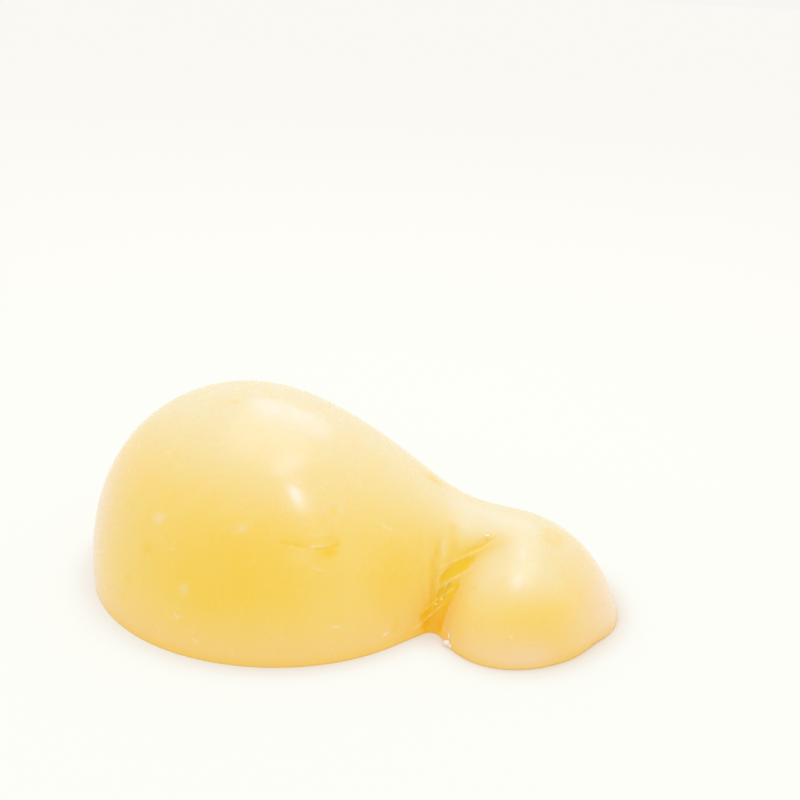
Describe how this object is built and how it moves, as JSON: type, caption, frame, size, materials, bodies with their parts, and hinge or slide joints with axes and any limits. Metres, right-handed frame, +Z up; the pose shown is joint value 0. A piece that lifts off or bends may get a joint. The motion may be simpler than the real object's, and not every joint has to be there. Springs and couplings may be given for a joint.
{
  "type": "caciocavallo cheese half",
  "caption": "Half of a gourd-shaped stretched-curd cheese, cut along its length and lying on the flat cut face, with a tied head at one end.",
  "frame": {"origin": "middle of the footprint, on the flat cut face that the half lies on", "axes": "+X runs from the round ball to the tied head, +Z points up out of the cut face, -Y is the side with the deep crease"},
  "size_m": [0.221, 0.1506, 0.0749],
  "materials": {
    "cheese": "waxy, satin warm yellow rind with a paler, deeper-rimmed cut face"
  },
  "bodies": {
    "root": {"caciocavallo_half": "cheese"}
  },
  "joints": []
}
